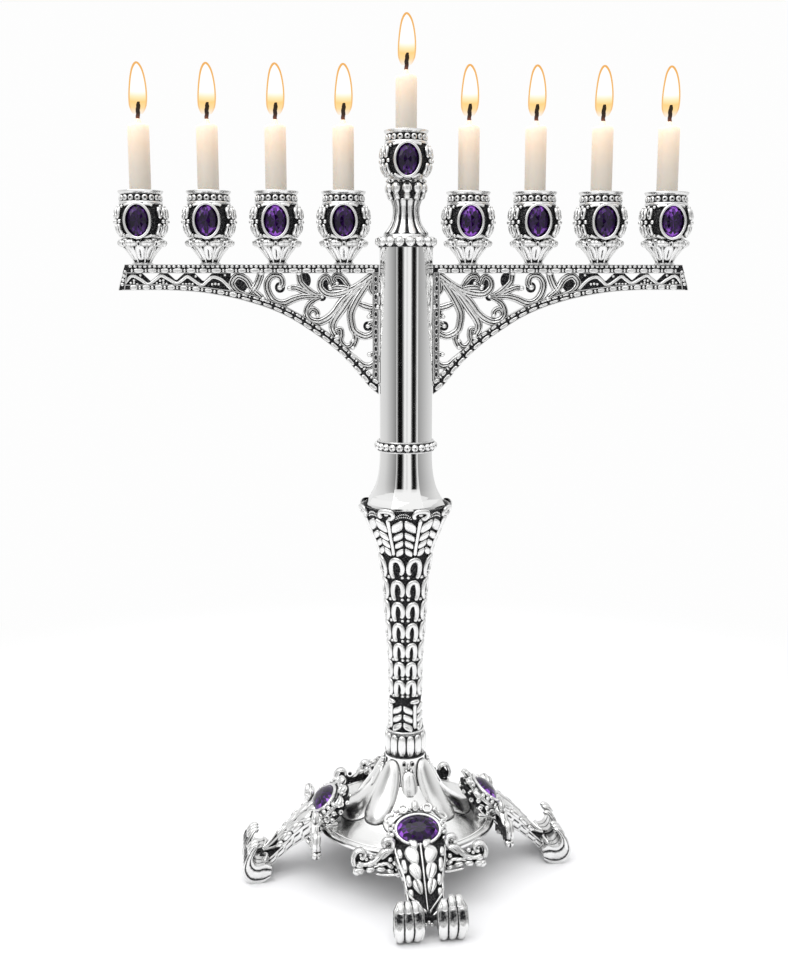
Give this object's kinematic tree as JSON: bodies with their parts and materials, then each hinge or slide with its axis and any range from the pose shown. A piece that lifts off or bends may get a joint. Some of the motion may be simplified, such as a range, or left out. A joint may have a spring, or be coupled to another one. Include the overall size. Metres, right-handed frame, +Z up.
{
  "type": "menorah",
  "caption": "Table menorah of antiqued and polished silver: a turned stem on claw feet, pierced scrollwork arms, a row of stone-set cups and burning taper candles.",
  "frame": {"origin": "on the resting plane, under the middle of the bounding box, which is also the stem axis", "axes": "+Z up along the stem, X along the row of cups, -Y towards the front"},
  "size_m": [0.2582, 0.1608, 0.3791],
  "materials": {
    "antiqued_silver": "silver plate with blackened recesses",
    "polished_silver": "polished silver plate",
    "steel": "plain",
    "purple_stone": "faceted, polished",
    "wax": "satin candle wax",
    "wick": "braided cotton, charred"
  },
  "bodies": {
    "stand": {"base_plate": "polished_silver", "base_dome": "polished_silver", "leg_front": "antiqued_silver", "leg_right": "antiqued_silver", "leg_back": "antiqued_silver", "leg_left": "antiqued_silver", "leg_stones": "purple_stone", "leg_screws": "steel", "stem_collar": "antiqued_silver", "patterned_stem": "antiqued_silver", "calyx": "antiqued_silver", "column": "polished_silver", "column_bead_ring": "antiqued_silver", "column_cap": "antiqued_silver", "centre_spool": "antiqued_silver", "arm_left": "antiqued_silver", "arm_right": "antiqued_silver", "arm_screws": "steel", "cup_studs": "steel", "tie_rod": "steel", "tie_washer": "steel", "tie_nut": "steel", "candle_sockets": "steel", "cup_left_1": "antiqued_silver", "cup_left_2": "antiqued_silver", "cup_left_3": "antiqued_silver", "cup_left_4": "antiqued_silver", "cup_right_1": "antiqued_silver", "cup_right_2": "antiqued_silver", "cup_right_3": "antiqued_silver", "cup_right_4": "antiqued_silver", "cup_centre": "antiqued_silver", "stones_left_1": "purple_stone", "stones_left_2": "purple_stone", "stones_left_3": "purple_stone", "stones_left_4": "purple_stone", "stones_right_1": "purple_stone", "stones_right_2": "purple_stone", "stones_right_3": "purple_stone", "stones_right_4": "purple_stone", "stones_centre": "purple_stone"},
    "lit_candle_left_1": {"candle_left_1": "wax", "wick_left_1": "wick"},
    "lit_candle_left_2": {"candle_left_2": "wax", "wick_left_2": "wick"},
    "lit_candle_left_3": {"candle_left_3": "wax", "wick_left_3": "wick"},
    "lit_candle_left_4": {"candle_left_4": "wax", "wick_left_4": "wick"},
    "lit_candle_right_1": {"candle_right_1": "wax", "wick_right_1": "wick"},
    "lit_candle_right_2": {"candle_right_2": "wax", "wick_right_2": "wick"},
    "lit_candle_right_3": {"candle_right_3": "wax", "wick_right_3": "wick"},
    "lit_candle_right_4": {"candle_right_4": "wax", "wick_right_4": "wick"},
    "lit_candle_centre": {"candle_centre": "wax", "wick_centre": "wick"}
  },
  "joints": [
    {"name": "lift_left_1", "type": "slide", "parent": "stand", "child": "lit_candle_left_1", "axis": [0, 0, 1], "range_m": [0, 0.06]},
    {"name": "lift_left_2", "type": "slide", "parent": "stand", "child": "lit_candle_left_2", "axis": [0, 0, 1], "range_m": [0, 0.06]},
    {"name": "lift_left_3", "type": "slide", "parent": "stand", "child": "lit_candle_left_3", "axis": [0, 0, 1], "range_m": [0, 0.06]},
    {"name": "lift_left_4", "type": "slide", "parent": "stand", "child": "lit_candle_left_4", "axis": [0, 0, 1], "range_m": [0, 0.06]},
    {"name": "lift_right_1", "type": "slide", "parent": "stand", "child": "lit_candle_right_1", "axis": [0, 0, 1], "range_m": [0, 0.06]},
    {"name": "lift_right_2", "type": "slide", "parent": "stand", "child": "lit_candle_right_2", "axis": [0, 0, 1], "range_m": [0, 0.06]},
    {"name": "lift_right_3", "type": "slide", "parent": "stand", "child": "lit_candle_right_3", "axis": [0, 0, 1], "range_m": [0, 0.06]},
    {"name": "lift_right_4", "type": "slide", "parent": "stand", "child": "lit_candle_right_4", "axis": [0, 0, 1], "range_m": [0, 0.06]},
    {"name": "lift_centre", "type": "slide", "parent": "stand", "child": "lit_candle_centre", "axis": [0, 0, 1], "range_m": [0, 0.06]}
  ]
}
